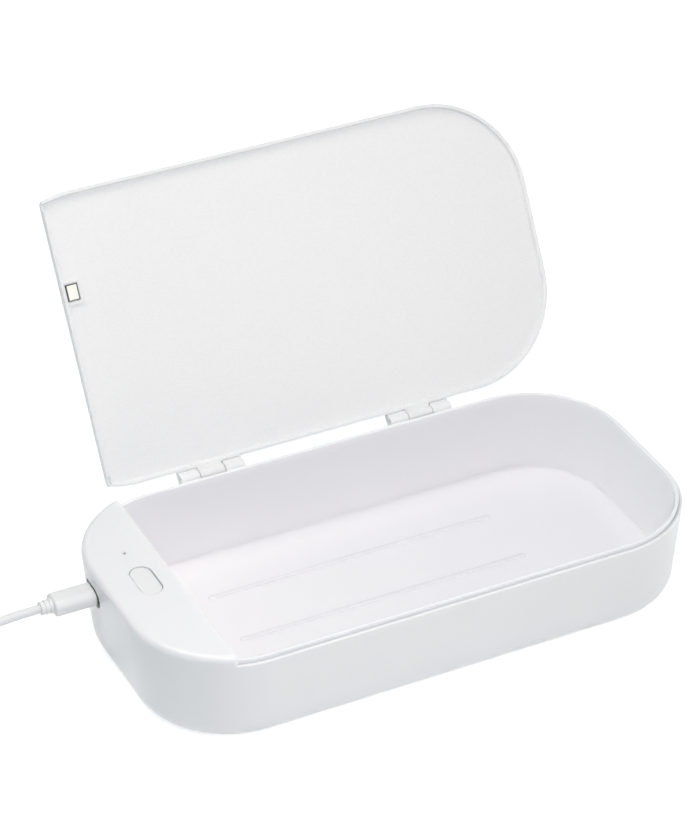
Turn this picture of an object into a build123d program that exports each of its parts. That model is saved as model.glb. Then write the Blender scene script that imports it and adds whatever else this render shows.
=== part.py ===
from build123d import *
import os
from math import cos, hypot, pi, radians, sin, tan

# UV sanitizer box for phones. Millimetres; +X is the box's length, away from the control panel,
# +Y points at the hinges and +Z up. The origin is on the table under the middle of the case, and
# the lid stands open, as far back as its stops let it.

# ---- driving sizes ---------------------------------------------------------------------------
case_length = 220.0
case_width = 111.5
case_height = 40.0  # table to the top of the panel and of the closed lid
corner_radius = 38.3  # plan radius of the case's corners
foot_height = 1.0
draft_angle = 4.7  # lean of every upright wall of case and tray
bottom_round = 6.8
top_round = 2.2
wall = 1.4
nest_gap = 0.1  # between case wall and tray wall

panel_edge_x = -83.5  # the raised panel lies to the left of this line
panel_edge_round = 1.2
panel_thickness = 1.8
skirt_bottom_z = 31.0  # the panel's edge turns down to here
skirt_thickness = 1.3
shoulder_z = 36.0  # seat of the lid's rim
lip_z = 37.8  # top of the tray's lip
lip_end_y = 50.9  # the left wall is lower between the ends of the lip
floor_z = 5.4
floor_thickness = 1.4

lid_bottom_z = 36.3
lid_recess_z = 38.1
lid_clearance = 0.3  # lid to panel edge
lid_open_angle = 120.0

hinge_y = 58.8
hinge_z = 35.6
knuckle_radius = 2.0
pin_radius = 0.75
pin_clearance = 0.05
hinge_starts = (-55.8, 31.6)  # left end of each hinge
knuckle_lengths = (7.4, 10.0, 7.8)
knuckle_gap = 0.3

rib_length = 118.0
rib_middle = (-1.8, -3.8)
rib_spacing = 28.0
rib_width = 2.4  # at the floor
rib_height = 0.7
rib_taper = 30.0

button_place = (-94.4, 2.0)
button_size = (17.7, 8.5)  # of its hole
button_gap = 0.3
button_sink = 0.35  # at its middle; the right side is deeper
button_lean = 2.0
light_place = (-94.9, 20.3)
light_radius = 0.6

port_y = 17.6
port_z = 28.4
port_size = (13.6, 8.6)
port_rise = 0.15  # of the hole's middle over the socket's
plug_size = (10.6, 6.6)
plug_face_x = -109.4
plug_length = 15.5
collar_radius = 2.9
collar_length = 4.5
cable_radius = 1.7

cover_screws_at = ((-88.0, -32.0), (-88.0, 32.0))
board_screws_at = ((-102.5, -23.5), (-90.5, -23.5), (-90.5, 24.8))
lamp_screws_at = (-24.5, 24.5)  # along Y
lamps_at = (-16.0, 0.0, 16.0)  # along Y
lamp_z = 21.5
feet_at = (76.0, 30.0)

# ---- sizes worked out from them --------------------------------------------------------------
case_bottom_z = foot_height
case_inner_z = case_bottom_z + wall
panel_under_z = case_height - panel_thickness
tray_inset = wall + nest_gap
bay_inset = tray_inset + wall  # inner face of the tray
tray_left_x = panel_edge_x + nest_gap
bay_left_x = tray_left_x + wall
tray_left_z = shoulder_z - nest_gap


def draft_inset(z):
    """How far the drafted wall has moved in at height z."""
    return (case_height - z) * tan(radians(draft_angle))


opening_inset = draft_inset(case_bottom_z) + bottom_round + 2.0  # the bottom cover's hole


def case_outline(inset):
    """The case's plan outline, moved in by inset."""
    RectangleRounded(
        case_length - 2 * inset, case_width - 2 * inset, corner_radius - inset
    )


def right_of(x):
    """Keep what lies to the right of x."""
    with Locations((x, 0)):
        Rectangle(
            case_length, case_width, align=(Align.MIN, Align.CENTER), mode=Mode.INTERSECT
        )


def drafted_block(inset, top_z, bottom_z, bottom_fillet, top_fillet=0.0, left_x=None):
    """Solid inside the drafted outline moved in by inset, between two heights, with its lower
    and upper edges rounded; left_x cuts its left end off square first."""
    with BuildPart() as block:
        with BuildSketch(Plane.XY.offset(top_z)):
            case_outline(inset + draft_inset(top_z))
        extrude(amount=top_z - bottom_z, dir=(0, 0, -1), taper=draft_angle)
        if left_x is not None:
            split(bisect_by=Plane.YZ.offset(left_x), keep=Keep.TOP)
        fillet(block.faces().sort_by(Axis.Z)[0].edges(), bottom_fillet)
        if top_fillet:
            fillet(block.faces().sort_by(Axis.Z)[-1].edges(), top_fillet)
    return block.part


def columns(places, radius, low_z, high_z):
    """Round columns at some plan places, between two heights."""
    with BuildPart() as made:
        with BuildSketch(Plane.XY.offset(low_z)):
            with Locations(*places):
                Circle(radius)
        extrude(amount=high_z - low_z)
    return made.part


def knuckle_span(start, index):
    """Left end and length of a hinge's knuckle 0, 1 or 2."""
    return start + sum(knuckle_lengths[:index]) + index * knuckle_gap, knuckle_lengths[index]


def screw(head_radius, head_height, shank_radius, shank_length):
    """Pan-head screw on the Z axis: head above z = 0, shank below, cross recess."""
    with BuildPart() as one:
        with BuildSketch(Plane.XZ):
            with BuildLine():
                Polyline(
                    (0, head_height),
                    (0, -shank_length),
                    (0.5 * shank_radius, -shank_length),
                    (shank_radius, -shank_length + 1.2 * shank_radius),
                    (shank_radius, 0),
                    (head_radius, 0),
                    (head_radius, 0.45 * head_height),
                )
                ThreePointArc(
                    (head_radius, 0.45 * head_height),
                    (0.62 * head_radius, 0.88 * head_height),
                    (0, head_height),
                )
            make_face()
        revolve(axis=Axis.Z)
        with BuildSketch(Plane.XY.offset(0.5 * head_height)):
            Rectangle(1.1 * head_radius, 0.3 * head_radius)
            Rectangle(0.3 * head_radius, 1.1 * head_radius)
        extrude(amount=head_height, mode=Mode.SUBTRACT)
    return one.part


def save(piece, name):
    piece.label = name
    export_step(piece, f"parts/{name}.step")


os.makedirs("parts", exist_ok=True)

# ---- outer case: walls, panel, port and hinge brackets in one moulding -----------------------
ledge_width = 3.0
ledge_height = 0.9
hook_x = 60.0  # the bottom cover hooks in beyond here, so the ledge stops
cover_boss_radius = 3.1
cover_boss_z = 3.7
cover_pad_radius = 4.4
board_boss_radius = 2.2
board_z = 25.1
board_thickness = 1.6
board_top_z = board_z + board_thickness
pilot_radius = 0.9
bracket_foot_z = 27.0
bracket_top_z = hinge_z + 0.15  # ahead of the knuckles
bracket_gap = 0.35
stop_gap = 0.3
stop_span = (0.4, 3.0)

hollow_form = drafted_block(
    wall, panel_under_z, case_inner_z, bottom_round - wall, top_fillet=1.4
)
with BuildPart() as case_hollow:
    add(hollow_form)
    with BuildSketch(Plane.XY.offset(skirt_bottom_z)):
        with Locations((panel_edge_x, 0)):
            Rectangle(skirt_thickness, case_width, align=(Align.MAX, Align.CENTER))
    extrude(amount=case_height, mode=Mode.SUBTRACT)

with BuildPart() as ledge:
    with BuildSketch(Plane.XY.offset(case_inner_z)):
        case_outline(opening_inset - 1.4)
        with Locations((hook_x, 0)):
            Rectangle(
                case_length, case_width, align=(Align.MIN, Align.CENTER), mode=Mode.SUBTRACT
            )
        with Locations(*cover_screws_at):
            Circle(cover_pad_radius + 0.4, mode=Mode.SUBTRACT)
    extrude(amount=ledge_height)
    with BuildSketch(Plane.XY.offset(case_inner_z)):
        case_outline(opening_inset + ledge_width)
    extrude(amount=ledge_height, mode=Mode.SUBTRACT)

with BuildPart() as outer_case:
    with BuildSketch(Plane.XY.offset(case_height)):
        case_outline(0)
    extrude(amount=case_height - case_bottom_z, dir=(0, 0, -1), taper=draft_angle)
    fillet(outer_case.faces().sort_by(Axis.Z)[0].edges(), bottom_round)
    fillet(outer_case.faces().sort_by(Axis.Z)[-1].edges(), top_round)
    # seat of the lid, right of the panel
    with BuildSketch(Plane.XY.offset(shoulder_z)):
        with Locations((panel_edge_x, 0)):
            Rectangle(case_length, 2 * case_width, align=(Align.MIN, Align.CENTER))
    extrude(amount=case_height, mode=Mode.SUBTRACT)
    panel_face = outer_case.faces().filter_by(Axis.X).sort_by(Axis.X)[-1]
    fillet(
        panel_face.edges().filter_by(lambda e: e.center().Z > shoulder_z + 0.1),
        panel_edge_round,
    )
    add(case_hollow.part, mode=Mode.SUBTRACT)
    # hole in the underside, closed by the bottom cover, with a ledge that backs the cover
    with BuildSketch(Plane.XY.offset(case_bottom_z)):
        case_outline(opening_inset)
    extrude(amount=wall, mode=Mode.SUBTRACT)
    add(ledge.part)
    # bosses under the panel for the cover's and the circuit board's screws
    add(columns(cover_screws_at, cover_boss_radius, cover_boss_z, panel_under_z + 0.5))
    add(columns(board_screws_at, board_boss_radius, board_top_z, panel_under_z + 0.5))
    add(columns(cover_screws_at, pilot_radius, cover_boss_z, cover_boss_z + 9), mode=Mode.SUBTRACT)
    add(columns(board_screws_at, pilot_radius, board_top_z, board_top_z + 7), mode=Mode.SUBTRACT)
    # button and indicator holes
    with BuildSketch(Plane.XY.offset(panel_under_z - 1)):
        with Locations(button_place):
            SlotOverall(*button_size, rotation=90)
        with Locations(light_place):
            Circle(light_radius)
    extrude(amount=panel_thickness + 2, mode=Mode.SUBTRACT)
    # port in the left end
    with BuildSketch(Plane.YZ.offset(-case_length / 2)):
        with Locations((port_y, port_z + port_rise)):
            SlotOverall(*port_size)
    extrude(amount=4, mode=Mode.SUBTRACT)
    # outer knuckles, each on a bracket whose sloped back is the open lid's stop, and a shelf
    # under the whole hinge
    wall_y = case_width / 2 - draft_inset(hinge_z) - 0.5 * wall
    foot_y = case_width / 2 - draft_inset(bracket_foot_z) - 0.5 * wall
    shelf_y = hinge_y - knuckle_radius - bracket_gap
    axis_point = Vector(hinge_y, hinge_z)
    out, along = Vector(0.5, sin(pi / 3)), Vector(sin(pi / 3), -0.5)
    stop_middle = axis_point + out * (hinge_y - case_width / 2 - stop_gap)
    stop_top, stop_tip = (stop_middle + along * reach for reach in stop_span)
    for start in hinge_starts:
        for index in (0, 2):
            left, length = knuckle_span(start, index)
            with BuildSketch(Plane.YZ.offset(left)):
                with Locations((hinge_y, hinge_z)):
                    Circle(knuckle_radius)
                with BuildLine():
                    Polyline(
                        (wall_y, bracket_top_z),
                        (hinge_y - 1.0, bracket_top_z),
                        (stop_top.X, stop_top.Y),
                        (stop_tip.X, stop_tip.Y),
                        (stop_tip.X - 0.8, stop_tip.Y - 1.6),
                        (foot_y, bracket_foot_z),
                        close=True,
                    )
                make_face()
            extrude(amount=length)
        with BuildSketch(Plane.YZ.offset(start)):
            with BuildLine():
                Polyline(
                    (wall_y, bracket_top_z),
                    (shelf_y, bracket_top_z),
                    (shelf_y, bracket_top_z - 1.0),
                    (wall_y, bracket_top_z - 3.0),
                    close=True,
                )
            make_face()
        extrude(amount=sum(knuckle_lengths) + 2 * knuckle_gap)
    for start in hinge_starts:
        left, length = knuckle_span(start, 2)
        with BuildSketch(Plane.YZ.offset(start - 1)):
            with Locations((hinge_y, hinge_z)):
                Circle(pin_radius)
        extrude(amount=left - start + 1 + 0.75 * length, mode=Mode.SUBTRACT)
save(outer_case.part, "outer_case")

# ---- hinge pins, pressed into the outer knuckles ---------------------------------------------
for start, side in zip(hinge_starts, ("left", "right")):
    right_left, right_length = knuckle_span(start, 2)
    with BuildPart() as hinge_pin:
        with BuildSketch(Plane.YZ.offset(start + 0.8)):
            with Locations((hinge_y, hinge_z)):
                Circle(pin_radius)
        extrude(amount=right_left + 0.7 * right_length - start - 0.8)
        chamfer(hinge_pin.edges(), 0.2)
    save(hinge_pin.part, f"hinge_pin_{side}")

# ---- bottom cover ----------------------------------------------------------------------------
cover_gap = 0.2
cover_thickness = wall - 0.1
hook_size = (9.0, 11.0)  # along Y, along X
hook_spread = 12.0
hook_reach = 2.6
foot_radius = 5.0
foot_sink = 0.5

with BuildPart() as bottom_cover:
    with BuildSketch(Plane.XY.offset(case_bottom_z)):
        case_outline(opening_inset + cover_gap)
    extrude(amount=cover_thickness)
    chamfer(bottom_cover.faces().sort_by(Axis.Z)[0].edges(), 0.3)
    add(columns(cover_screws_at, cover_pad_radius, case_bottom_z + 0.5, cover_boss_z))
    # hooks that reach over the case's inner flange
    with BuildSketch(Plane.XY.offset(case_inner_z + 0.05)):
        with Locations((case_length / 2 - opening_inset + hook_reach, 0)):
            with GridLocations(0, 2 * hook_spread, 1, 2):
                Rectangle(hook_size[1], hook_size[0], align=(Align.MAX, Align.CENTER))
    extrude(amount=1.0)
    with BuildSketch(Plane.XY.offset(case_bottom_z + 0.5)):
        with Locations((case_length / 2 - opening_inset - 1.0, 0)):
            with GridLocations(0, 2 * hook_spread, 1, 2):
                Rectangle(7.0, hook_size[0], align=(Align.MAX, Align.CENTER))
    extrude(amount=wall)
    # stiffening ribs
    with BuildSketch(Plane.XY.offset(case_bottom_z + 0.5)):
        with GridLocations(0, 22, 1, 3):
            Rectangle(130, 1.0)
        with GridLocations(44, 0, 3, 1):
            Rectangle(1.0, 66)
    extrude(amount=1.7)
    add(columns(cover_screws_at, 1.3, case_bottom_z, cover_boss_z), mode=Mode.SUBTRACT)
    add(columns(cover_screws_at, 2.6, case_bottom_z, case_bottom_z + 1.5), mode=Mode.SUBTRACT)
    with BuildSketch(Plane.XY.offset(case_bottom_z)):
        with GridLocations(2 * feet_at[0], 2 * feet_at[1], 2, 2):
            Circle(foot_radius + 0.15)
    extrude(amount=foot_sink, mode=Mode.SUBTRACT)
save(bottom_cover.part, "bottom_cover")

with BuildPart() as rubber_feet:
    with BuildSketch(Plane.XY):
        with GridLocations(2 * feet_at[0], 2 * feet_at[1], 2, 2):
            Circle(foot_radius)
    extrude(amount=foot_height + foot_sink)
    fillet(rubber_feet.faces().group_by(Axis.Z)[0].edges(), 0.5)
save(rubber_feet.part, "rubber_feet")

cover_screw = screw(2.3, 1.3, 0.82, 8.0)
with BuildPart() as cover_screws:
    for x, y in cover_screws_at:
        with Locations(Location((x, y, case_bottom_z + 1.5), (180, 0, 0))):
            add(cover_screw)
save(cover_screws.part, "cover_screws")

# ---- inner tray: drafted bay with a lip, floor ribs and the lamp window ----------------------
window_size = (44.0, 8.0)
window_gap = 0.1
standoff_radius = 2.0
lamp_board_x = -86.0
lamp_board_thickness = 1.0

tray_form = drafted_block(
    tray_inset, lip_z, floor_z - floor_thickness, 3.0, left_x=tray_left_x
)
bay_form = drafted_block(bay_inset, lip_z, floor_z, 1.0, left_x=bay_left_x)
with BuildPart() as inner_tray:
    add(tray_form)
    add(bay_form, mode=Mode.SUBTRACT)
    fillet(
        inner_tray.faces().sort_by(Axis.Z)[-1].edges().filter_by(GeomType.CIRCLE), 0.4
    )
    with BuildSketch(Plane.XY.offset(tray_left_z)):
        with Locations((bay_left_x + 0.05, 0)):
            Rectangle(10, 2 * lip_end_y, align=(Align.MAX, Align.CENTER))
    extrude(amount=10, mode=Mode.SUBTRACT)
    # ribs that keep the phone off the floor
    with BuildSketch(Plane.XY.offset(floor_z)):
        with Locations(rib_middle):
            with GridLocations(0, rib_spacing, 1, 3):
                SlotOverall(rib_length, rib_width)
    extrude(amount=rib_height, taper=rib_taper)
    rib_tops = inner_tray.faces().filter_by(Axis.Z).filter_by(
        lambda f: abs(f.center().Z - floor_z - rib_height) < 0.01
    )
    fillet(rib_tops.edges(), 0.6)
    # standoffs for the lamp board, behind the left wall
    with BuildSketch(Plane.YZ.offset(lamp_board_x + lamp_board_thickness)):
        with Locations(*[(y, lamp_z) for y in lamp_screws_at]):
            Circle(standoff_radius)
    extrude(amount=tray_left_x - lamp_board_x - lamp_board_thickness + 0.3)
    with BuildSketch(Plane.YZ.offset(lamp_board_x + lamp_board_thickness)):
        with Locations(*[(y, lamp_z) for y in lamp_screws_at]):
            Circle(0.75)
    extrude(amount=2.2, mode=Mode.SUBTRACT)
    with BuildSketch(Plane.YZ.offset(tray_left_x - 1)):
        with Locations((0, lamp_z)):
            SlotOverall(window_size[0], window_size[1])
    extrude(amount=wall + 2, mode=Mode.SUBTRACT)
save(inner_tray.part, "inner_tray")

# ---- lamp window, lamp board and lamps -------------------------------------------------------
with BuildPart() as uv_window:
    with BuildSketch(Plane.YZ.offset(tray_left_x + 0.2)):
        with Locations((0, lamp_z)):
            SlotOverall(window_size[0] - 2 * window_gap, window_size[1] - 2 * window_gap)
    extrude(amount=1.0)
save(uv_window.part, "uv_window")

with BuildPart() as uv_lamp_board:
    with BuildSketch(Plane.YZ.offset(lamp_board_x)):
        with Locations((0, lamp_z)):
            RectangleRounded(54, 9, 1.5)
        with Locations(*[(y, lamp_z) for y in lamp_screws_at]):
            Circle(1.0, mode=Mode.SUBTRACT)
    extrude(amount=lamp_board_thickness)
save(uv_lamp_board.part, "uv_lamp_board")

with BuildPart() as uv_lamps:
    with BuildSketch(Plane.YZ.offset(lamp_board_x + lamp_board_thickness)):
        with Locations(*[(y, lamp_z) for y in lamps_at]):
            Rectangle(3.5, 3.5)
    extrude(amount=0.9)
    with BuildSketch(Plane.YZ.offset(lamp_board_x + lamp_board_thickness + 0.9)):
        with Locations(*[(y, lamp_z) for y in lamps_at]):
            Circle(1.3)
    extrude(amount=0.35)
save(uv_lamps.part, "uv_lamps")

lamp_screw = screw(1.5, 0.8, 0.68, 2.9)
with BuildPart() as lamp_board_screws:
    for y in lamp_screws_at:
        with Locations(Location((lamp_board_x, y, lamp_z), (0, -90, 0))):
            add(lamp_screw)
save(lamp_board_screws.part, "lamp_board_screws")

# ---- main board and what sits on it ----------------------------------------------------------
board_left_x = -106.0
board_right_x = -87.2
board_front_y = -28.0
board_back_y = 28.0
socket_size = (8.94, 3.26)
socket_mouth_x = -107.6
socket_length = 7.35
socket_wall = 0.3

with BuildPart() as main_board:
    with BuildSketch(Plane.XY.offset(board_z)) as board_outline:
        with Locations((board_left_x, board_front_y)):
            Rectangle(
                board_right_x - board_left_x,
                board_back_y - board_front_y,
                align=(Align.MIN, Align.MIN),
            )
        fillet(board_outline.vertices(), 3.0)
        with Locations(*board_screws_at):
            Circle(1.1, mode=Mode.SUBTRACT)
    extrude(amount=board_thickness)
save(main_board.part, "main_board")

controller_place, controller_size = (-101.0, -4.0), (5.0, 6.2, 1.4)
driver_place, driver_size = (-91.5, 12.6), (4.4, 4.4, 2.6)
capacitor_place, capacitor_radius, capacitor_height = (-98.0, -16.5), 2.5, 5.4
with BuildPart() as board_components:
    for (x, y), (size_x, size_y, height) in (
        (controller_place, controller_size),
        (driver_place, driver_size),
        ((-103.0, 5.6), (3.0, 1.6, 1.0)),
        ((-98.6, 8.4), (3.0, 1.6, 1.0)),
    ):
        with BuildSketch(Plane.XY.offset(board_top_z)):
            with Locations((x, y)):
                RectangleRounded(size_x, size_y, 0.3)
        extrude(amount=height)
    with BuildSketch(Plane.XY.offset(board_top_z)):
        with Locations(capacitor_place):
            Circle(capacitor_radius)
    extrude(amount=capacitor_height)
save(board_components.part, "board_components")

magnet_middle = (-79.2, -19.0)
with BuildPart() as lid_sensor:
    with BuildSketch(Plane.XY.offset(board_top_z)):
        with Locations((board_right_x + 1.4, magnet_middle[1])):
            Rectangle(2.4, 3.0)
    extrude(amount=3.2)
    fillet(lid_sensor.edges().filter_by(Axis.Z), 0.4)
save(lid_sensor.part, "lid_sensor")

with BuildPart() as usb_socket_shell:
    with BuildSketch(Plane.YZ.offset(socket_mouth_x)):
        with Locations((port_y, port_z)):
            SlotOverall(*socket_size)
    extrude(amount=socket_length)
    with BuildSketch(Plane.YZ.offset(socket_mouth_x)):
        with Locations((port_y, port_z)):
            SlotOverall(socket_size[0] - 2 * socket_wall, socket_size[1] - 2 * socket_wall)
    extrude(amount=socket_length - 0.6, mode=Mode.SUBTRACT)
save(usb_socket_shell.part, "usb_socket_shell")

tongue_size = (5.2, 6.6, 0.7)
with BuildPart() as usb_socket_tongue:
    with BuildSketch(Plane.XY.offset(port_z - tongue_size[2] / 2)) as tongue_plan:
        with Locations((socket_mouth_x + socket_length - 0.6, port_y)):
            Rectangle(*tongue_size[:2], align=(Align.MAX, Align.CENTER))
        fillet(tongue_plan.vertices().group_by(Axis.X)[0], 0.8)
    extrude(amount=tongue_size[2])
save(usb_socket_tongue.part, "usb_socket_tongue")

board_screw = screw(1.8, 1.0, 0.8, 6.5)
with BuildPart() as main_board_screws:
    for x, y in board_screws_at:
        with Locations(Location((x, y, board_z), (180, 0, 0))):
            add(board_screw)
save(main_board_screws.part, "main_board_screws")

# ---- wires from the main board to the lamp board ---------------------------------------------
header_place = (-96.0, -10.0)
header_size = (5.0, 6.0, 4.4)
lamp_header_y = -12.0
lamp_header_size = (4.4, 6.0, 4.4)
wire_radius = 0.6
wire_pitch = 2.0

with BuildPart() as main_header:
    with BuildSketch(Plane.XY.offset(board_z)):
        with Locations(header_place):
            RectangleRounded(header_size[0], header_size[1], 0.4)
    extrude(amount=-header_size[2])
save(main_header.part, "main_header")

with BuildPart() as lamp_header:
    with BuildSketch(Plane.YZ.offset(lamp_board_x)):
        with Locations((lamp_header_y, lamp_z - 1.5)):
            Rectangle(lamp_header_size[1], lamp_header_size[2])
    extrude(amount=-lamp_header_size[0])
    fillet(lamp_header.edges().filter_by(Axis.X), 0.4)
save(lamp_header.part, "lamp_header")

header_under_z = board_z - header_size[2]
lamp_header_left_x = lamp_board_x - lamp_header_size[0]
with BuildPart() as lamp_wires:
    for k in (-0.5, 0.5):
        with BuildLine():
            wire_route = FilletPolyline(
                (header_place[0] - 1.2, header_place[1] + k * wire_pitch, header_under_z),
                (header_place[0] - 1.2, header_place[1] + k * wire_pitch, 15.6),
                (lamp_header_left_x - 3.2, lamp_header_y + k * wire_pitch, 15.6),
                (lamp_header_left_x - 3.2, lamp_header_y + k * wire_pitch, lamp_z - 1.5),
                (lamp_header_left_x, lamp_header_y + k * wire_pitch, lamp_z - 1.5),
                radius=1.3,
            )
        with BuildSketch(Plane(wire_route @ 0, z_dir=wire_route % 0)):
            Circle(wire_radius)
        sweep(path=wire_route)
save(lamp_wires.part, "lamp_wires")

# ---- power button, switch and indicator ------------------------------------------------------
switch_size = 6.0
switch_height = 3.5
plunger_radius = 1.7
switch_top_z = board_top_z + switch_height
plunger_top_z = switch_top_z + 1.5
button_top_z = case_height - button_sink
flange_top_z = panel_under_z - 0.3
flange_bottom_z = flange_top_z - 0.9

with BuildPart() as power_button:
    with BuildSketch(Plane.XY.offset(flange_top_z - 0.4)):
        with Locations(button_place):
            SlotOverall(
                button_size[0] - 2 * button_gap, button_size[1] - 2 * button_gap, rotation=90
            )
    extrude(amount=case_height - flange_top_z + 0.4)
    lean = radians(button_lean)
    split(
        bisect_by=Plane((*button_place, button_top_z), z_dir=(sin(lean), 0, cos(lean))),
        keep=Keep.BOTTOM,
    )
    fillet(power_button.faces().sort_by(Axis.Z)[-1].edges(), 0.25)
    with BuildSketch(Plane.XY.offset(flange_bottom_z)):
        with Locations(button_place):
            SlotOverall(button_size[0] + 1.4, button_size[1] + 1.4, rotation=90)
    extrude(amount=flange_top_z - flange_bottom_z)
    add(columns([button_place], 2.2, plunger_top_z, flange_bottom_z + 0.2))
save(power_button.part, "power_button")

with BuildPart() as switch_body:
    with BuildSketch(Plane.XY.offset(board_top_z)):
        with Locations(button_place):
            Rectangle(switch_size, switch_size)
    extrude(amount=switch_height)
    chamfer(switch_body.edges().filter_by(Axis.Z), 0.5)
    well = columns([button_place], plunger_radius + 0.15, board_top_z + 1.2, switch_top_z)
    add(well, mode=Mode.SUBTRACT)
save(switch_body.part, "switch_body")

with BuildPart() as switch_plunger:
    add(columns([button_place], plunger_radius, board_top_z + 2.1, plunger_top_z))
    chamfer(switch_plunger.faces().sort_by(Axis.Z)[-1].edges(), 0.3)
save(switch_plunger.part, "switch_plunger")

with BuildPart() as light_pipe:
    add(columns([light_place], light_radius - 0.05, board_top_z + 1.4, case_height - 0.5))
    add(columns([light_place], 1.6, panel_under_z - 1.2, panel_under_z - 0.05))
save(light_pipe.part, "light_pipe")

with BuildPart() as status_light:
    with BuildSketch(Plane.XY.offset(board_top_z)):
        with Locations(light_place):
            Rectangle(1.6, 0.8)
    extrude(amount=0.5)
    with BuildSketch(Plane.XY.offset(board_top_z + 0.5)):
        with Locations(light_place):
            Rectangle(1.1, 0.8)
    extrude(amount=0.4)
save(status_light.part, "status_light")

# ---- lid, modelled shut and turned open about the hinge axis ---------------------------------
lid_left_x = panel_edge_x + lid_clearance
lid_rim = 1.4
lid_top_round = 2.6
lid_edge_round = 0.3  # along its left end
recess_round = 0.7
pad_frame_size = (8.4, 9.4)
pad_size = (4.7, 6.0)
pad_gap = 0.25
pad_frame_height = 0.8
pad_depth = 1.6
hinge_axis = Axis((0, hinge_y, hinge_z), (1, 0, 0))
pad_face_z = lid_recess_z - pad_frame_height
relief_width = 3.0
relief_y = lip_end_y + 0.8

with BuildPart() as lid_shut:
    with BuildSketch(Plane.XY.offset(lid_bottom_z)):
        case_outline(0)
    extrude(amount=case_height - lid_bottom_z)
    fillet(lid_shut.faces().sort_by(Axis.Z)[-1].edges(), lid_top_round)
    split(bisect_by=Plane.YZ.offset(lid_left_x), keep=Keep.TOP)
    left_end = lid_shut.faces().sort_by(Axis.X)[0]
    fillet(
        left_end.edges().filter_by(lambda e: e.center().Z > lid_bottom_z + 0.1),
        lid_edge_round,
    )
    with BuildSketch(Plane.XY.offset(lid_bottom_z)):
        case_outline(lid_rim)
        right_of(lid_left_x + lid_rim)
    extrude(amount=lid_recess_z - lid_bottom_z, mode=Mode.SUBTRACT)
    fillet(
        lid_shut.edges().filter_by(lambda e: abs(e.center().Z - lid_recess_z) < 0.01),
        recess_round,
    )
    fillet(lid_shut.faces().sort_by(Axis.Z)[0].inner_wires().edges(), 0.4)
    # reliefs in the left rim for the ends of the tray's lip
    with BuildSketch(Plane.XY.offset(lid_bottom_z)):
        with Locations((lid_left_x, 0)):
            with GridLocations(0, 2 * relief_y, 1, 2):
                Rectangle(2 * lid_rim + 0.2, relief_width)
    extrude(amount=lid_recess_z - lid_bottom_z, mode=Mode.SUBTRACT)
    # frame that holds the magnet pad
    with BuildSketch(Plane.XY.offset(pad_face_z)):
        with Locations(magnet_middle):
            RectangleRounded(*pad_frame_size, 1.0)
    extrude(amount=pad_frame_height + 0.3)
    with BuildSketch(Plane.XY.offset(pad_face_z)):
        with Locations(magnet_middle):
            Rectangle(pad_size[0] + 2 * pad_gap, pad_size[1] + 2 * pad_gap)
    extrude(amount=pad_depth, mode=Mode.SUBTRACT)
    # middle knuckles, carried on webs from the lid's rear edge
    for start in hinge_starts:
        left, length = knuckle_span(start, 1)
        with BuildSketch(Plane.YZ.offset(left)):
            with Locations((hinge_y, hinge_z)):
                Circle(knuckle_radius)
            with BuildLine():
                Polyline(
                    (case_width / 2 - 1.1, lid_bottom_z + 0.2),
                    (case_width / 2 - 1.1, case_height - 1.0),
                    (hinge_y - 1.2, case_height - 0.6),
                    (hinge_y + knuckle_radius * sin(pi / 4), hinge_z + knuckle_radius * cos(pi / 4)),
                    (hinge_y, hinge_z),
                    (hinge_y - 0.9 * knuckle_radius, hinge_z + 0.4),
                    close=True,
                )
            make_face()
        extrude(amount=length)
        with BuildSketch(Plane.YZ.offset(left)):
            with Locations((hinge_y, hinge_z)):
                Circle(pin_radius + pin_clearance)
        extrude(amount=length, mode=Mode.SUBTRACT)
save(lid_shut.part.rotate(hinge_axis, -lid_open_angle), "lid")

with BuildPart() as pad_shut:
    with BuildSketch(Plane.XY.offset(pad_face_z)):
        with Locations(magnet_middle):
            Rectangle(*pad_size)
    extrude(amount=pad_depth)
    fillet(pad_shut.edges().filter_by(Axis.Z), 0.3)
save(pad_shut.part.rotate(hinge_axis, -lid_open_angle), "lid_magnet")

# ---- USB lead, plug end ----------------------------------------------------------------------
collar_ring_starts = (0.0, 1.7, 3.4)
collar_ring_length = 1.1
plug_end_x = plug_face_x - plug_length
lead_start_x = plug_end_x - collar_length
tip_size = (8.25, 2.4)
tip_length = 6.65

with BuildPart() as plug_tip:
    with BuildSketch(Plane.YZ.offset(plug_face_x)):
        with Locations((port_y, port_z)):
            SlotOverall(*tip_size)
            SlotOverall(tip_size[0] - 0.6, tip_size[1] - 0.6, mode=Mode.SUBTRACT)
    extrude(amount=tip_length)
save(plug_tip.part, "plug_tip")

with BuildPart() as plug_body:
    with BuildSketch(Plane.YZ.offset(plug_face_x)):
        with Locations((port_y, port_z)):
            SlotOverall(*plug_size)
    extrude(amount=-plug_length)
    fillet(plug_body.faces().sort_by(Axis.X)[0].edges(), 1.0)
save(plug_body.part, "plug_body")

with BuildPart() as plug_collar:
    with BuildSketch(Plane.YZ.offset(plug_end_x)):
        with Locations((port_y, port_z)):
            Circle(collar_radius - 0.6)
    extrude(amount=-collar_length)
    # strain-relief rings
    for count in range(3):
        ring_x = plug_end_x - collar_ring_starts[count]
        with BuildSketch(Plane.YZ.offset(ring_x)):
            with Locations((port_y, port_z)):
                Circle(collar_radius - 0.15 * count)
        extrude(amount=-collar_ring_length)
    rims = plug_collar.edges().filter_by(GeomType.CIRCLE).filter_by(
        lambda e: e.radius > collar_radius - 0.4
    )
    fillet(rims.filter_by(lambda e: e.center().X < plug_end_x - 0.1), 0.2)
save(plug_collar.part, "plug_collar")

# ---- USB lead, free stretch down to the table ------------------------------------------------
coil_rise = 0.45  # the tie passes under the coil
lower_z = coil_rise + cable_radius
lead_route = [
    (lead_start_x, port_y, port_z),
    (-152.5, port_y, port_z),
    (-171.0, port_y, 19.8),
    (-183.0, port_y, 8.6),
    (-200.5, port_y, lower_z),
    (-218.5, port_y, lower_z),
]


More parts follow.
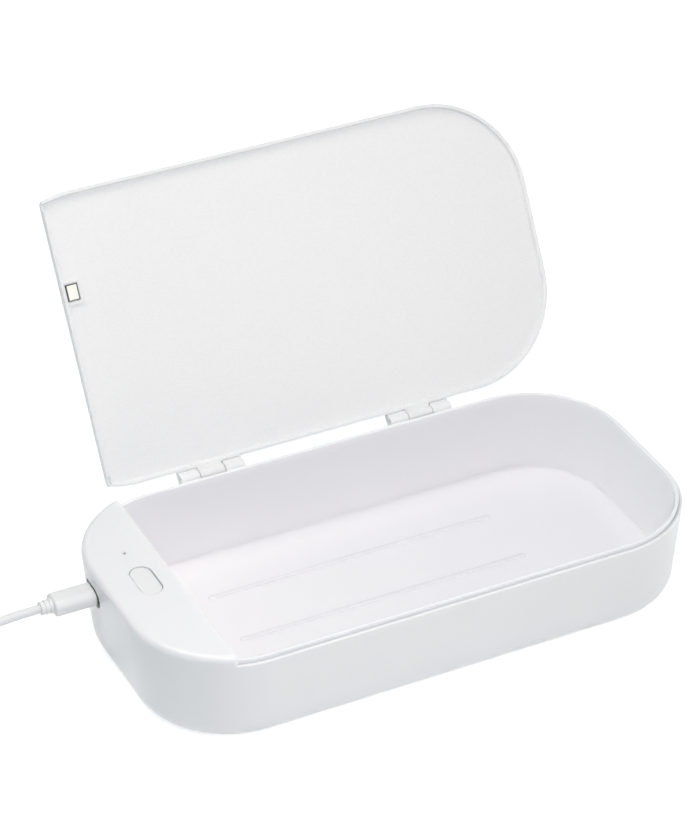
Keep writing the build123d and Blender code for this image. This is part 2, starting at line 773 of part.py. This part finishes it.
def bend_radii(route):
    """Radius of the arc at each inner point: 0.45 of the shorter run, over the tangent of half
    the turn there."""
    points = [Vector(*p) for p in route]
    runs = [b - a for a, b in zip(points, points[1:])]
    return [
        0.45 * min(a.length, b.length) / tan(radians(a.get_angle(b)) / 2)
        for a, b in zip(runs, runs[1:])
    ]


def cable_tube(route, name):
    """Tube along straight runs joined by tangent arcs."""
    radii = bend_radii(route)
    with BuildPart() as tube:
        with BuildLine():
            path = FilletPolyline(*route, radius=radii)
        with BuildSketch(Plane(path @ 0, z_dir=path % 0)):
            Circle(cable_radius)
        sweep(path=path)
    print(name, "radii", [round(r, 1) for r in radii], "length", round(path.length, 1))
    section_volume = pi * cable_radius**2 * path.length
    print(name, "volume over section x length", tube.part.volume / section_volume)
    return tube.part


save(cable_tube(lead_route, "cable_lead"), "cable_lead")

# ---- USB lead, the coil: a spiral of half turns, in and out again in two layers ---------------
coil_pitch = 3.85  # between turns and between layers
coil_outer = 24.6
coil_half_turns = 5  # in each layer
upper_z = lower_z + coil_pitch
coil_x = lead_route[-1][0] - 2 * cable_radius


def coil_points():
    """Ends and middles of the coil's half turns: in along the table, up a layer in the half
    turn where it reverses, and out again on top."""
    steps = list(range(coil_half_turns)) + [coil_half_turns]
    steps += list(range(coil_half_turns - 1, -1, -1))
    x, y, z = coil_x, port_y, lower_z
    side = -1
    halves = []
    for count, step in enumerate(steps):
        radius = coil_outer - step * coil_pitch / 2
        end_z = upper_z if count == coil_half_turns else z
        end = (x, y - side * 2 * radius, end_z)
        lift = (z + end_z) / 2
        middle = (x + side * hypot(radius, (end_z - z) / 2), (y + end[1]) / 2, lift)
        halves.append(((x, y, z), middle, end))
        y, z, side = end[1], end_z, -side
    return halves


def least_gap(path, count=900):
    """Least distance between turns' surfaces, from points along the path."""
    points = [path.position_at(i / count) for i in range(count + 1)]
    step = path.length / count
    skip = int(4 * cable_radius * pi / step)
    return (
        min(
            (points[i] - points[j]).length
            for i in range(0, count + 1, 2)
            for j in range(i + skip, count + 1)
        )
        - 2 * cable_radius
    )


halves = coil_points()
coil_exit = halves[-1][-1]
with BuildPart() as cable_coil:
    with BuildLine() as coil_line:
        Line(lead_route[-1], halves[0][0])
        for a, b, c in halves:
            ThreePointArc(a, b, c)
        Line(coil_exit, (coil_exit[0] + 2 * cable_radius, coil_exit[1], coil_exit[2]))
    coil_wire = coil_line.wires()[0]
    with BuildSketch(Plane(lead_route[-1], z_dir=(-1, 0, 0))):
        Circle(cable_radius)
    sweep(path=coil_wire)
print("cable_coil length", round(coil_wire.length, 1), "least gap", round(least_gap(coil_wire), 2))
section_volume = pi * cable_radius**2 * coil_wire.length
print("cable_coil volume over section x length", cable_coil.part.volume / section_volume)
save(cable_coil.part, "cable_coil")

tie_thickness = 0.4
tie_width = 6.0
tie_y = port_y + coil_outer + coil_pitch / 2
tie_inner = (2 * coil_pitch + 2 * cable_radius + 1.2, coil_pitch + 2 * cable_radius + 0.1)
with BuildPart() as cable_tie:
    with BuildSketch(Plane.XZ.offset(-tie_y - tie_width / 2)):
        with Locations(
            (coil_x - coil_outer + coil_pitch + 0.4, (lower_z + upper_z) / 2)
        ):
            RectangleRounded(
                tie_inner[0] + 2 * tie_thickness, tie_inner[1] + 2 * tie_thickness, 1.6
            )
            RectangleRounded(*tie_inner, 1.2, mode=Mode.SUBTRACT)
    extrude(amount=tie_width)
save(cable_tie.part, "cable_tie")

# ---- USB lead, far end -----------------------------------------------------------------------
far_plug_size = (15.4, 8.0)  # along Y, along Z
far_plug_length = 21.0
far_collar_length = 9.0
far_shell_size = (12.0, 4.5)
far_shell_length = 11.8
far_z = far_plug_size[1] / 2
tail_start = (coil_exit[0] + 2 * cable_radius, coil_exit[1], coil_exit[2])
far_y = tail_start[1] + 1.6
tail_route = [
    tail_start,
    (tail_start[0] + 10.0, tail_start[1], tail_start[2]),
    (tail_start[0] + 22.0, far_y, far_z),
    (tail_start[0] + 32.0, far_y, far_z),
]
save(cable_tube(tail_route, "cable_tail"), "cable_tail")

far_collar_x = tail_route[-1][0]
far_plug_x = far_collar_x + far_collar_length
far_shell_x = far_plug_x + far_plug_length
with BuildPart() as far_collar:
    with BuildSketch(Plane.YZ.offset(far_collar_x)):
        with Locations((far_y, far_z)):
            Circle(cable_radius + 0.5)
    with BuildSketch(Plane.YZ.offset(far_plug_x)):
        with Locations((far_y, far_z)):
            Circle(collar_radius)
    loft()
save(far_collar.part, "far_collar")

with BuildPart() as far_plug_body:
    with BuildSketch(Plane.YZ.offset(far_plug_x)):
        with Locations((far_y, far_z)):
            RectangleRounded(*far_plug_size, 1.8)
    extrude(amount=far_plug_length)
    fillet(far_plug_body.faces().sort_by(Axis.X)[0].edges(), 1.0)
save(far_plug_body.part, "far_plug_body")

with BuildPart() as far_plug_shell:
    with BuildSketch(Plane.YZ.offset(far_shell_x)):
        with Locations((far_y, far_z)):
            RectangleRounded(*far_shell_size, 0.4)
            Rectangle(far_shell_size[0] - 0.6, far_shell_size[1] - 0.6, mode=Mode.SUBTRACT)
    extrude(amount=far_shell_length)
    with BuildSketch(Plane.XY.offset(far_z)):
        with Locations((far_shell_x + 6.4, far_y)):
            with GridLocations(0, 5.4, 1, 2):
                Rectangle(2.3, 2.1)
    extrude(amount=far_shell_size[1], both=True, mode=Mode.SUBTRACT)
save(far_plug_shell.part, "far_plug_shell")

with BuildPart() as far_plug_insert:
    with BuildSketch(Plane.YZ.offset(far_shell_x)):
        with Locations((far_y, far_z - far_shell_size[1] / 2 + 0.3 + 0.95)):
            Rectangle(far_shell_size[0] - 0.7, 1.8)
    extrude(amount=far_shell_length - 0.6)
save(far_plug_insert.part, "far_plug_insert")
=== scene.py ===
from math import cos, hypot, pi, radians, sin

import bmesh
import bpy
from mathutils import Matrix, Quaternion, Vector


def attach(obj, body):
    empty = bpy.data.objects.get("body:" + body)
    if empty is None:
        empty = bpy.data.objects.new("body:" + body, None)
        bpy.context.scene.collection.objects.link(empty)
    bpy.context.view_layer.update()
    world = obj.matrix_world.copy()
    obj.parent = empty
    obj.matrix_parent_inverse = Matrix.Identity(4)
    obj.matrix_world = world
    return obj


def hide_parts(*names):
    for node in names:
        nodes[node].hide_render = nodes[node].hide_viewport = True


# Looks of the phone sanitizer box. Metres, in the CAD frame: +X runs along the case away from
# the button panel, +Y towards the hinges, +Z up from the table.

MM = 0.001

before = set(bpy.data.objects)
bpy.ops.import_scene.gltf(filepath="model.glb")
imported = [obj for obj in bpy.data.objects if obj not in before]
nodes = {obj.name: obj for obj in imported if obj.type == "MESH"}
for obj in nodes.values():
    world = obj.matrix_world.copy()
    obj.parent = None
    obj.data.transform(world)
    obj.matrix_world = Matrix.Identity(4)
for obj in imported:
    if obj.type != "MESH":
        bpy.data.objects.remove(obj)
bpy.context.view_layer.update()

# ---- camera, as the photograph was taken ------------------------------------------------------
PHOTO_HEIGHT = 837  # pixels
FOCAL_LENGTH = 3447.6  # pixels
SENSOR = 36.0  # millimetres
CAMERA_AZIMUTH = -26.315  # degrees, as the next two
CAMERA_ELEVATION = 33.89
CAMERA_ROLL = -0.123
CAMERA_DISTANCE = 1.3369
CAMERA_TARGET = Vector((0.02567, 0.08087, 0.02576))
CAMERA_NEAR = 0.05
CAMERA_FAR = 50.0


def photo_camera():
    azimuth, elevation = radians(CAMERA_AZIMUTH), radians(CAMERA_ELEVATION)
    back = Vector((
        sin(azimuth) * cos(elevation),
        -cos(azimuth) * cos(elevation),
        sin(elevation),
    ))
    lens = bpy.data.cameras.new("photo_camera")
    lens.sensor_width = SENSOR
    lens.lens = FOCAL_LENGTH * SENSOR / PHOTO_HEIGHT
    lens.clip_start = CAMERA_NEAR
    lens.clip_end = CAMERA_FAR
    camera = bpy.data.objects.new("photo_camera", lens)
    camera.rotation_mode = "QUATERNION"
    camera.location = CAMERA_TARGET + CAMERA_DISTANCE * back
    level = (-back).to_track_quat("-Z", "Y")
    camera.rotation_quaternion = level @ Quaternion((0, 0, 1), radians(CAMERA_ROLL))
    bpy.context.scene.collection.objects.link(camera)
    bpy.context.scene.camera = camera


# ---- node helpers for materials ---------------------------------------------------------------
def new_material(name):
    """A material with its node tree, its Principled shader and its Object coordinates."""
    material = bpy.data.materials.new(name)
    material.use_nodes = True
    tree = material.node_tree
    shader = tree.nodes["Principled BSDF"]
    place = tree.nodes.new("ShaderNodeTexCoord").outputs["Object"]
    return material, tree, shader, place


def feed(tree, socket, value):
    """Joins a socket to another node's output, or gives it a value of its own."""
    if isinstance(value, bpy.types.NodeSocket):
        tree.links.new(value, socket)
    elif socket.type == "RGBA":
        socket.default_value = (*value, 1)
    else:
        socket.default_value = value


def number_node(tree, operation, *values):
    """What a Math node makes of its values."""
    node = tree.nodes.new("ShaderNodeMath")
    node.operation = operation
    for socket, value in zip(node.inputs, values):
        feed(tree, socket, value)
    return node.outputs["Value"]


def vector_node(tree, operation, *values):
    """What a Vector Math node makes of its vectors: a number from a dot product, or a vector."""
    node = tree.nodes.new("ShaderNodeVectorMath")
    node.operation = operation
    for socket, value in zip(node.inputs, values):
        feed(tree, socket, value)
    return node.outputs["Value" if operation == "DOT_PRODUCT" else "Vector"]


def joined(tree, operation, values):
    """Runs one Math operation through several values."""
    result = values[0]
    for value in values[1:]:
        result = number_node(tree, operation, result, value)
    return result


def noise(tree, place, scale, detail=3.0, roughness=0.5, stretch=(1, 1, 1)):
    """Noise in Object coordinates; its scale is in features per metre."""
    mapping = tree.nodes.new("ShaderNodeMapping")
    mapping.inputs["Scale"].default_value = stretch
    tree.links.new(place, mapping.inputs["Vector"])
    texture = tree.nodes.new("ShaderNodeTexNoise")
    texture.inputs["Scale"].default_value = scale
    texture.inputs["Detail"].default_value = detail
    texture.inputs["Roughness"].default_value = roughness
    tree.links.new(mapping.outputs["Vector"], texture.inputs["Vector"])
    return texture.outputs["Fac"]


def spread(tree, value, low, high, from_low=0.3, from_high=0.7):
    """Maps a texture's value to a range of numbers."""
    node = tree.nodes.new("ShaderNodeMapRange")
    node.inputs["From Min"].default_value = from_low
    node.inputs["From Max"].default_value = from_high
    node.inputs["To Min"].default_value = low
    node.inputs["To Max"].default_value = high
    tree.links.new(value, node.inputs["Value"])
    return node.outputs["Result"]


def blend_colours(tree, value, first, second):
    """Goes from one colour to the other as the value goes from 0 to 1."""
    node = tree.nodes.new("ShaderNodeMix")
    node.data_type = "RGBA"
    feed(tree, node.inputs["A"], first)
    feed(tree, node.inputs["B"], second)
    feed(tree, node.inputs["Factor"], value)
    return node.outputs["Result"]


def uneven(tree, pattern, colour, fade):
    """A colour that a pattern takes down to fade of itself."""
    dark = tuple(fade * c for c in colour)
    return blend_colours(tree, spread(tree, pattern, 0, 1), dark, colour)


def finish(tree, shader, colour, roughness, layers):
    """Gives a shader its colour, its roughness and its layers of bump."""
    feed(tree, shader.inputs["Base Color"], colour)
    feed(tree, shader.inputs["Roughness"], roughness)
    raise_surface(tree, shader, layers)


def raise_surface(tree, shader, layers):
    """Bump from several (height value, depth in metres) layers, one on another."""
    normal = None
    for height, depth in layers:
        bump = tree.nodes.new("ShaderNodeBump")
        bump.inputs["Distance"].default_value = depth
        tree.links.new(height, bump.inputs["Height"])
        if normal is not None:
            tree.links.new(normal, bump.inputs["Normal"])
        normal = bump.outputs["Normal"]
    tree.links.new(normal, shader.inputs["Normal"])


# ---- kinds of finish --------------------------------------------------------------------------
def moulded(name, colour, roughness, grain=0.00002, glow_depth=0.0):
    """Injection-moulded plastic: a barely uneven tint and a fine grain that breaks the gloss.
    In white walls light goes glow_depth metres deep."""
    material, tree, shader, place = new_material(name)
    clouds = noise(tree, place, scale=9, detail=1)
    fine = noise(tree, place, scale=2400, detail=2, roughness=0.6)
    finish(
        tree,
        shader,
        uneven(tree, clouds, colour, fade=0.994),
        spread(tree, fine, 0.9 * roughness, 1.1 * roughness),
        [(fine, grain)],
    )
    if glow_depth:
        shader.inputs["Subsurface Weight"].default_value = 0.6
        shader.inputs["Subsurface Radius"].default_value = (1, 1, 1)
        shader.inputs["Subsurface Scale"].default_value = glow_depth
    return material


def metal(name, colour, roughness, stretch=(1, 1, 1)):
    """Plated or drawn steel, with fine scratches along the stretched axis."""
    material, tree, shader, place = new_material(name)
    scratches = noise(tree, place, scale=2600, detail=3, roughness=0.7, stretch=stretch)
    stains = noise(tree, place, scale=260, detail=4)
    finish(
        tree,
        shader,
        uneven(tree, stains, colour, fade=0.86),
        spread(tree, scratches, 0.8 * roughness, 1.3 * roughness),
        [(scratches, 0.000004)],
    )
    shader.inputs["Metallic"].default_value = 1.0
    return material


def soft_jacket(name, colour, roughness, sheen=0.15):
    """Soft cable or rubber surface: matte, with a faint drawn texture."""
    material, tree, shader, place = new_material(name)
    clouds = noise(tree, place, scale=120, detail=3)
    skin = noise(tree, place, scale=3200, detail=3, roughness=0.6)
    finish(
        tree,
        shader,
        uneven(tree, clouds, colour, fade=0.975),
        spread(tree, skin, 0.9 * roughness, 1.1 * roughness),
        [(skin, 0.00001)],
    )
    shader.inputs["Sheen Weight"].default_value = sheen
    shader.inputs["Sheen Roughness"].default_value = 0.5
    return material


def circuit_board(name, colour, track_colour):
    """Solder mask over copper: broad pours and tracks just show through it."""
    material, tree, shader, place = new_material(name)
    cells = tree.nodes.new("ShaderNodeTexVoronoi")
    cells.distance = "CHEBYCHEV"
    cells.feature = "DISTANCE_TO_EDGE"
    cells.inputs["Scale"].default_value = 320
    tree.links.new(place, cells.inputs["Vector"])
    tracks = spread(tree, cells.outputs["Distance"], 1, 0, from_low=0.04, from_high=0.08)
    weave = noise(tree, place, scale=1800, detail=2)
    finish(
        tree,
        shader,
        blend_colours(tree, tracks, colour, track_colour),
        spread(tree, weave, 0.25, 0.38),
        [(tracks, 0.00003), (weave, 0.000006)],
    )
    return material


def clear_plastic(name, tint, roughness, refraction):
    """Clear window or light guide, with faint haze."""
    material, tree, shader, place = new_material(name)
    haze = noise(tree, place, scale=500, detail=3)
    cloud = noise(tree, place, scale=90, detail=2)
    feed(tree, shader.inputs["Base Color"], uneven(tree, cloud, tint, fade=0.97))
    feed(tree, shader.inputs["Roughness"], spread(tree, haze, roughness, roughness + 0.05))
    shader.inputs["Transmission Weight"].default_value = 0.9
    shader.inputs["IOR"].default_value = refraction
    return material


# ---- finishes that follow a form of their piece -----------------------------------------------
LID_OPEN = radians(120)
LID_UP = (0, -cos(LID_OPEN), sin(LID_OPEN))
PAD_MIDDLE = (-79.0 * MM, 99.9 * MM, 101.7 * MM)  # of its pale face, on the open lid
PAD_FACE_HALF = (1.9 * MM, 2.75 * MM)
RIBS_MIDDLE = (-1.8 * MM, -3.8 * MM, 5.85 * MM)  # just above the tray's floor
RIBS_HALF = (60.0 * MM, 30.0 * MM, 0.35 * MM)
EDGE_BLUR = 0.05 * MM
AXES = ((1, 0, 0), (0, 1, 0), (0, 0, 1))


def within(tree, place, middle, along, half):
    """1 where a point lies less than half from the middle, measured along one direction."""
    offset = vector_node(tree, "SUBTRACT", place, middle)
    measure = vector_node(tree, "DOT_PRODUCT", offset, along)
    size = number_node(tree, "ABSOLUTE", measure)
    return spread(tree, size, 1, 0, from_low=half - EDGE_BLUR, from_high=half + EDGE_BLUR)


def paint_rib_shade(material, colour):
    """Painted shade: the ribs on the tray's floor are painted a shade greyer than the polished
    floor round them, in place of the shade along their sides.
    """
    tree = material.node_tree
    base_colour = tree.nodes["Principled BSDF"].inputs["Base Color"]
    place = tree.nodes.new("ShaderNodeTexCoord").outputs["Object"]
    ribs = joined(tree, "MINIMUM", [
        within(tree, place, RIBS_MIDDLE, along, half) for along, half in zip(AXES, RIBS_HALF)
    ])
    floor_colour = base_colour.links[0].from_socket
    feed(tree, base_colour, blend_colours(tree, ribs, floor_colour, colour))
    return material


def pad_with_edge_shade(name, face_colour, side_colour_and_edge_shade, roughness):
    """Magnet pad: a pale face inside a dark edge, and dark sides. The dark edge on the face is
    painted shade, in place of the shade in the gap round the pad.
    """
    material, tree, shader, place = new_material(name)
    across = within(tree, place, PAD_MIDDLE, AXES[0], PAD_FACE_HALF[0])
    up = within(tree, place, PAD_MIDDLE, LID_UP, PAD_FACE_HALF[1])
    face = joined(tree, "MINIMUM", [across, up])
    speckle = noise(tree, place, scale=1500, detail=3, roughness=0.6)
    finish(
        tree,
        shader,
        blend_colours(tree, face, side_colour_and_edge_shade, face_colour),
        spread(tree, speckle, 0.85 * roughness, 1.15 * roughness),
        [(speckle, 0.00002)],
    )
    return material


# ---- cord -------------------------------------------------------------------------------------
CABLE_RADIUS = 1.7 * MM
PORT_Y = 17.6 * MM
PORT_Z = 28.4 * MM
TABLE_Z = 2.15 * MM  # axis of the cable in the coil's lower layer
COIL_PITCH = 3.85 * MM
COIL_OUTER = 24.6 * MM  # radius of its first half turn
COIL_HALF_TURNS = 5  # in each layer
COIL_STEPS = 8  # points in a half turn
LEAD_ROUTE = [
    (-0.1294, PORT_Y, PORT_Z),
    (-0.1525, PORT_Y, PORT_Z),
    (-0.1710, PORT_Y, 0.0198),
    (-0.1830, PORT_Y, 0.0086),
    (-0.2005, PORT_Y, TABLE_Z),
    (-0.2185, PORT_Y, TABLE_Z),
]
TAIL_REACH = (0.010, 0.022, 0.032)  # from the coil to the far plug
TAIL_SIDE = 1.6 * MM
FAR_Z = 4.0 * MM  # axis of the far plug
CORD_ORDER = 3  # each stretch is drawn from this many points
CORD_STEPS_ALONG = 6
CORD_STEPS_ROUND = 8


def coil_route():
    """The coil's points: half turns in along the table, up a layer, and out again on top."""
    steps = [*range(COIL_HALF_TURNS + 1), *range(COIL_HALF_TURNS - 1, -1, -1)]
    x, y, z = LEAD_ROUTE[-1][0] - 2 * CABLE_RADIUS, PORT_Y, TABLE_Z
    side = -1
    points = [(x, y, z)]
    for count, step in enumerate(steps):
        radius = COIL_OUTER - step * COIL_PITCH / 2
        climb = COIL_PITCH if count == COIL_HALF_TURNS else 0.0
        reach = hypot(radius, climb / 2)
        middle = Vector((x, y - side * radius, z + climb / 2))
        along = Vector((0, -side * radius, climb / 2))
        for k in range(1, COIL_STEPS + 1):
            turn = pi * k / COIL_STEPS
            out = Vector((side * reach * sin(turn), 0, 0))
            points.append(tuple(middle - along * cos(turn) + out))
        y, z, side = points[-1][1], points[-1][2], -side
    return points


def tail_route(coil_end):
    """From the coil's end to the far plug."""
    x, y, z = coil_end
    x += 2 * CABLE_RADIUS
    near, middle, far = TAIL_REACH
    return [
        (x, y, z),
        (x + near, y, z),
        (x + middle, y + TAIL_SIDE, FAR_Z),
        (x + far, y + TAIL_SIDE, FAR_Z),
    ]


def usb_cable():
    """One smooth line from the plug's collar, down to the table, round the coil and on to the
    far plug."""
    coil = coil_route()
    points = LEAD_ROUTE + coil + tail_route(coil[-1])
    curve = bpy.data.curves.new("usb_cable", "CURVE")
    curve.dimensions = "3D"
    spline = curve.splines.new("NURBS")
    spline.points.add(len(points) - 1)
    for point, place in zip(spline.points, points):
        point.co = (*place, 1)
    spline.order_u = CORD_ORDER
    spline.use_endpoint_u = True
    spline.resolution_u = CORD_STEPS_ALONG
    curve.bevel_depth = CABLE_RADIUS
    curve.bevel_resolution = CORD_STEPS_ROUND
    curve.use_fill_caps = True
    cable = bpy.data.objects.new("usb_cable", curve)
    bpy.context.scene.collection.objects.link(cable)
    cable.data.materials.append(soft_jacket("cable_jacket", (0.82, 0.82, 0.82), 0.42))
    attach(cable, "base")
    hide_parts("cable_lead", "cable_coil", "cable_tail")
    return cable


# ---- finishes of the CAD nodes ----------------------------------------------------------------
WALL_GLOW = 2.5 * MM
TRAY_GRAIN = 0.008 * MM


def finish_nodes():
    """Puts a finish on each node; a finish's numbers are its colour and its roughness."""
    finishes = {
        moulded("case_plastic", (0.90, 0.90, 0.91), 0.30, glow_depth=WALL_GLOW): [
            "outer_case", "bottom_cover",
        ],
        # the tray's ribs get painted shade: a greyer colour in place of the shade along their
        # sides
        paint_rib_shade(
            moulded("tray_plastic", (0.91, 0.90, 0.925), 0.16, TRAY_GRAIN, WALL_GLOW),
            (0.80, 0.79, 0.81),
        ): ["inner_tray"],
        moulded("lid_plastic", (0.87, 0.87, 0.875), 0.28, glow_depth=WALL_GLOW): ["lid"],
        moulded("button_plastic", (0.84, 0.84, 0.84), 0.34): ["power_button"],
        # the magnet pad's dark edge is painted shade, in place of the shade in the gap round it
        pad_with_edge_shade("magnet_pad", (0.95, 0.95, 0.88), (0.03, 0.03, 0.03), 0.4): ["lid_magnet"],
        moulded("plug_plastic", (0.86, 0.86, 0.855), 0.36): [
            "plug_body", "plug_collar", "far_collar", "far_plug_body", "far_plug_insert",
        ],
        soft_jacket("foot_rubber", (0.30, 0.30, 0.31), 0.7): ["rubber_feet"],
        moulded("tie_plastic", (0.75, 0.75, 0.74), 0.45): ["cable_tie"],
        metal("pin_steel", (0.62, 0.61, 0.60), 0.28, (0.05, 1, 1)): [
            "hinge_pin_left", "hinge_pin_right",
        ],
        metal("screw_zinc", (0.58, 0.59, 0.62), 0.32): [
            "cover_screws", "lamp_board_screws", "main_board_screws",
        ],
        metal("plug_steel", (0.66, 0.66, 0.66), 0.22, (1, 0.1, 1)): [
            "plug_tip", "far_plug_shell", "usb_socket_shell",
        ],
        circuit_board("green_board", (0.02, 0.13, 0.05), (0.04, 0.22, 0.08)): ["main_board"],
        circuit_board("white_board", (0.72, 0.72, 0.70), (0.66, 0.66, 0.62)): ["uv_lamp_board"],
        moulded("chip_resin", (0.015, 0.015, 0.016), 0.5): [
            "board_components", "lid_sensor", "switch_body", "switch_plunger",
            "usb_socket_tongue",
        ],
        moulded("header_nylon", (0.74, 0.72, 0.65), 0.42): ["main_header", "lamp_header"],
        moulded("wire_insulation", (0.45, 0.02, 0.02), 0.4): ["lamp_wires"],
        moulded("lamp_ceramic", (0.72, 0.66, 0.42), 0.3): ["uv_lamps"],
        clear_plastic("quartz_window", (0.93, 0.95, 1.0), 0.04, 1.46): ["uv_window"],
        clear_plastic("light_guide", (0.9, 0.92, 0.93), 0.15, 1.49): [
            "light_pipe", "status_light",
        ],
    }
    for material, names in finishes.items():
        for name in names:
            slots = nodes[name].data.materials
            slots.clear()
            slots.append(material)


# ---- floor, light and background --------------------------------------------------------------
TABLE_HALF = 0.5  # out to where it is as white as what lies behind it
TABLE_COLOUR = (0.9, 0.9, 0.9)
TABLE_ROUGHNESS = 0.9
TABLE_WHITE = 0.62  # added to what the table shows of its light and shadow

# Light of the studio by direction: where it comes from, its colour and how narrow it is
SIDES = [
    ((0, 0, 1), (0.00, 0.00, 0.14), 1),
    ((1, 0, 0), (0.76, 0.83, 0.72), 1),
    ((-1, 0, 1), (0.21, 0.36, 0.33), 3),
]
# Soft boxes: place, what they aim at, width, watts and colour
SOFT_BOXES = [
    ((-0.25, 0.10, 0.75), (0.03, 0.00, 0.02), 0.35, 2.47, (1.0, 0.895, 0.77)),
    ((-0.15, -0.35, 0.45), (0.00, 0.05, 0.08), 0.25, 1.23, (1.0, 0.985, 0.985)),
    ((0.35, -0.45, 0.35), (0.03, 0.00, 0.03), 0.30, 0.56, (1.0, 0.89, 0.82)),
]


def seen_directly(tree):
    """1 for the camera, for reflections and through clear parts, else 0."""
    path = tree.nodes.new("ShaderNodeLightPath").outputs
    return joined(tree, "MAXIMUM", [
        path["Is Camera Ray"], path["Is Glossy Ray"], path["Is Transmission Ray"],
    ])


def table_top():
    """Plain pale floor under everything. White is added to it that gives no light."""
    mesh = bpy.data.meshes.new("table")
    shape = bmesh.new()
    bmesh.ops.create_grid(shape, x_segments=1, y_segments=1, size=TABLE_HALF)
    shape.to_mesh(mesh)
    shape.free()
    table = bpy.data.objects.new("table", mesh)
    bpy.context.scene.collection.objects.link(table)
    material, tree, shader, _ = new_material("table_white")
    feed(tree, shader.inputs["Base Color"], TABLE_COLOUR)
    feed(tree, shader.inputs["Roughness"], TABLE_ROUGHNESS)
    white = tree.nodes.new("ShaderNodeEmission")
    strength = number_node(tree, "MULTIPLY", seen_directly(tree), TABLE_WHITE)
    feed(tree, white.inputs["Strength"], strength)
    total = tree.nodes.new("ShaderNodeAddShader")
    feed(tree, total.inputs[0], shader.outputs[0])
    feed(tree, total.inputs[1], white.outputs[0])
    feed(tree, tree.nodes["Material Output"].inputs["Surface"], total.outputs[0])
    mesh.materials.append(material)


def soft_box(place, aim, width, power, colour):
    """Square lamp that faces what it aims at."""
    lamp = bpy.data.lights.new("soft_box", "AREA")
    lamp.size = width
    lamp.energy = power
    lamp.color = colour
    stand = bpy.data.objects.new("soft_box", lamp)
    stand.location = place
    stand.rotation_mode = "QUATERNION"
    stand.rotation_quaternion = (Vector(aim) - Vector(place)).to_track_quat("-Z", "Y")
    bpy.context.scene.collection.objects.link(stand)


def studio():
    """Lights the object from the sides, and shows plain white behind it."""
    world = bpy.data.worlds.new("studio")
    world.use_nodes = True
    bpy.context.scene.world = world
    tree = world.node_tree
    tree.nodes.clear()
    direction = tree.nodes.new("ShaderNodeTexCoord").outputs["Generated"]
    light = (0, 0, 0)
    for side, colour, narrow in SIDES:
        facing = vector_node(tree, "DOT_PRODUCT", direction, Vector(side).normalized())
        lit = number_node(tree, "MAXIMUM", facing, 0)
        falloff = number_node(tree, "POWER", lit, narrow)
        light = vector_node(tree, "MULTIPLY_ADD", falloff, colour, light)
    lamps = tree.nodes.new("ShaderNodeBackground")
    feed(tree, lamps.inputs["Color"], light)
    shown = tree.nodes.new("ShaderNodeBackground")
    feed(tree, shown.inputs["Color"], (1, 1, 1))
    choose = tree.nodes.new("ShaderNodeMixShader")
    feed(tree, choose.inputs["Fac"], seen_directly(tree))
    feed(tree, choose.inputs[1], lamps.outputs[0])
    feed(tree, choose.inputs[2], shown.outputs[0])
    output = tree.nodes.new("ShaderNodeOutputWorld")
    feed(tree, output.inputs["Surface"], choose.outputs[0])


photo_camera()
usb_cable()
finish_nodes()
table_top()
for box in SOFT_BOXES:
    soft_box(*box)
studio()
bpy.context.scene.view_settings.view_transform = "Standard"
